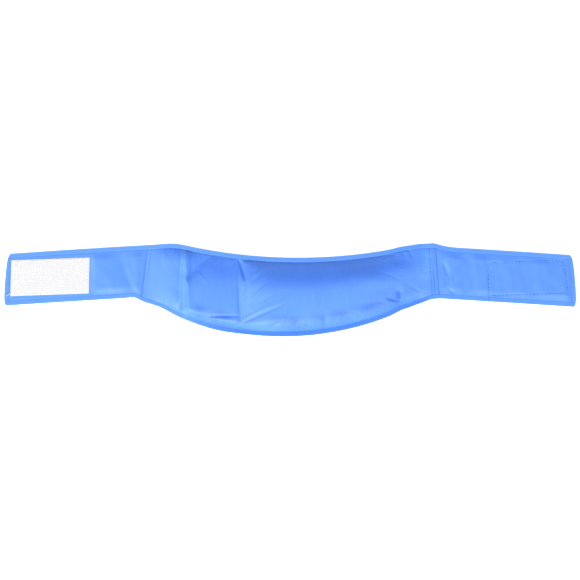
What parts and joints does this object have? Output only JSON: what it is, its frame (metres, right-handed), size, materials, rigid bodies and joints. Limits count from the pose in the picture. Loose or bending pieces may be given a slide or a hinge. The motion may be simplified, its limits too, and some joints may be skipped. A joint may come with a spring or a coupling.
{
  "type": "cold compression wrap",
  "caption": "Crescent gel pad in a soft welded film cover, with a strap at each end that closes hook to loop around a limb.",
  "frame": {"origin": "under the middle of the wrap, on the plane it lies on", "axes": "+X along the wrap towards the loop end, +Y towards the hollow neck edge, +Z out of the front face"},
  "size_m": [0.6048, 0.0984, 0.021],
  "materials": {
    "front_film": "satin laminated nylon film with a fine weave",
    "back_film": "satin laminated nylon film with a fine weave",
    "gel": "soft translucent gel",
    "hook_tape": "woven tape with stiff hooks",
    "loop_tape": "woven tape with brushed loops",
    "white_thread": "twisted sewing thread",
    "blue_thread": "twisted sewing thread"
  },
  "bodies": {
    "left_tab": {"left_tab_front_sheet": "front_film", "left_tab_back_sheet": "back_film", "hook_patch": "hook_tape", "hook_stitching": "white_thread"},
    "left_strap": {"left_strap_front_sheet": "front_film", "left_strap_back_sheet": "back_film"},
    "segment_1": {"segment_1_front_sheet": "front_film", "segment_1_back_sheet": "back_film", "segment_1_gel": "gel"},
    "segment_2": {"segment_2_front_sheet": "front_film", "segment_2_back_sheet": "back_film", "segment_2_gel": "gel"},
    "segment_3": {"segment_3_front_sheet": "front_film", "segment_3_back_sheet": "back_film", "segment_3_gel": "gel"},
    "segment_4": {"segment_4_front_sheet": "front_film", "segment_4_back_sheet": "back_film", "segment_4_gel": "gel"},
    "segment_5": {"segment_5_front_sheet": "front_film", "segment_5_back_sheet": "back_film", "segment_5_gel": "gel"},
    "segment_6": {"segment_6_front_sheet": "front_film", "segment_6_back_sheet": "back_film", "segment_6_gel": "gel"},
    "right_strap": {"right_strap_front_sheet": "front_film", "right_strap_back_sheet": "back_film"},
    "right_tab": {"right_tab_front_sheet": "front_film", "right_tab_back_sheet": "back_film", "loop_patch": "loop_tape", "loop_stitching": "blue_thread"}
  },
  "joints": [
    {"name": "body_curl", "type": "hinge", "parent": "segment_3", "child": "segment_4", "pos_m": [-0.002, -0.0074, 0.006], "axis": [0, -1, 0], "range_deg": [0, 37]},
    {"name": "left_strap_fold", "type": "hinge", "parent": "segment_1", "child": "left_strap", "pos_m": [-0.154, 0.0201, 0.00165], "axis": [0, 1, 0], "range_deg": [0, 32.5]},
    {"name": "right_strap_fold", "type": "hinge", "parent": "segment_6", "child": "right_strap", "pos_m": [0.154, 0.0187, 0.00358], "axis": [0, -1, 0], "range_deg": [0, 34.5]},
    {"name": "left_tab_fold", "type": "hinge", "parent": "left_strap", "child": "left_tab", "pos_m": [-0.195, 0.0176, 0.00095], "axis": [0, 1, 0], "range_deg": [0, 51.1]},
    {"name": "body_fold_1", "type": "hinge", "parent": "segment_2", "child": "segment_1", "pos_m": [-0.107, 0.0069, 0.0035], "axis": [0, 1, 0], "range_deg": [0, 35.7]},
    {"name": "body_fold_2", "type": "hinge", "parent": "segment_3", "child": "segment_2", "pos_m": [-0.054, -0.0039, 0.0055], "axis": [0, 1, 0], "range_deg": [0, 37.4]},
    {"name": "body_fold_3", "type": "hinge", "parent": "segment_4", "child": "segment_5", "pos_m": [0.05, -0.004, 0.006], "axis": [0, -1, 0], "range_deg": [0, 37]},
    {"name": "body_fold_4", "type": "hinge", "parent": "segment_5", "child": "segment_6", "pos_m": [0.102, 0.0066, 0.00587], "axis": [0, -1, 0], "range_deg": [0, 37]},
    {"name": "right_tab_fold", "type": "hinge", "parent": "right_strap", "child": "right_tab", "pos_m": [0.195, 0.0162, 0.00235], "axis": [0, -1, 0], "range_deg": [0, 58]}
  ],
  "couplings": [
    {"joint": "body_fold_1", "follows": "body_curl", "ratio": 0.9622},
    {"joint": "body_fold_2", "follows": "body_curl", "ratio": 1.0108},
    {"joint": "body_fold_3", "follows": "body_curl", "ratio": 1},
    {"joint": "body_fold_4", "follows": "body_curl", "ratio": 1},
    {"joint": "right_tab_fold", "follows": "right_strap_fold", "ratio": 1.6783}
  ]
}
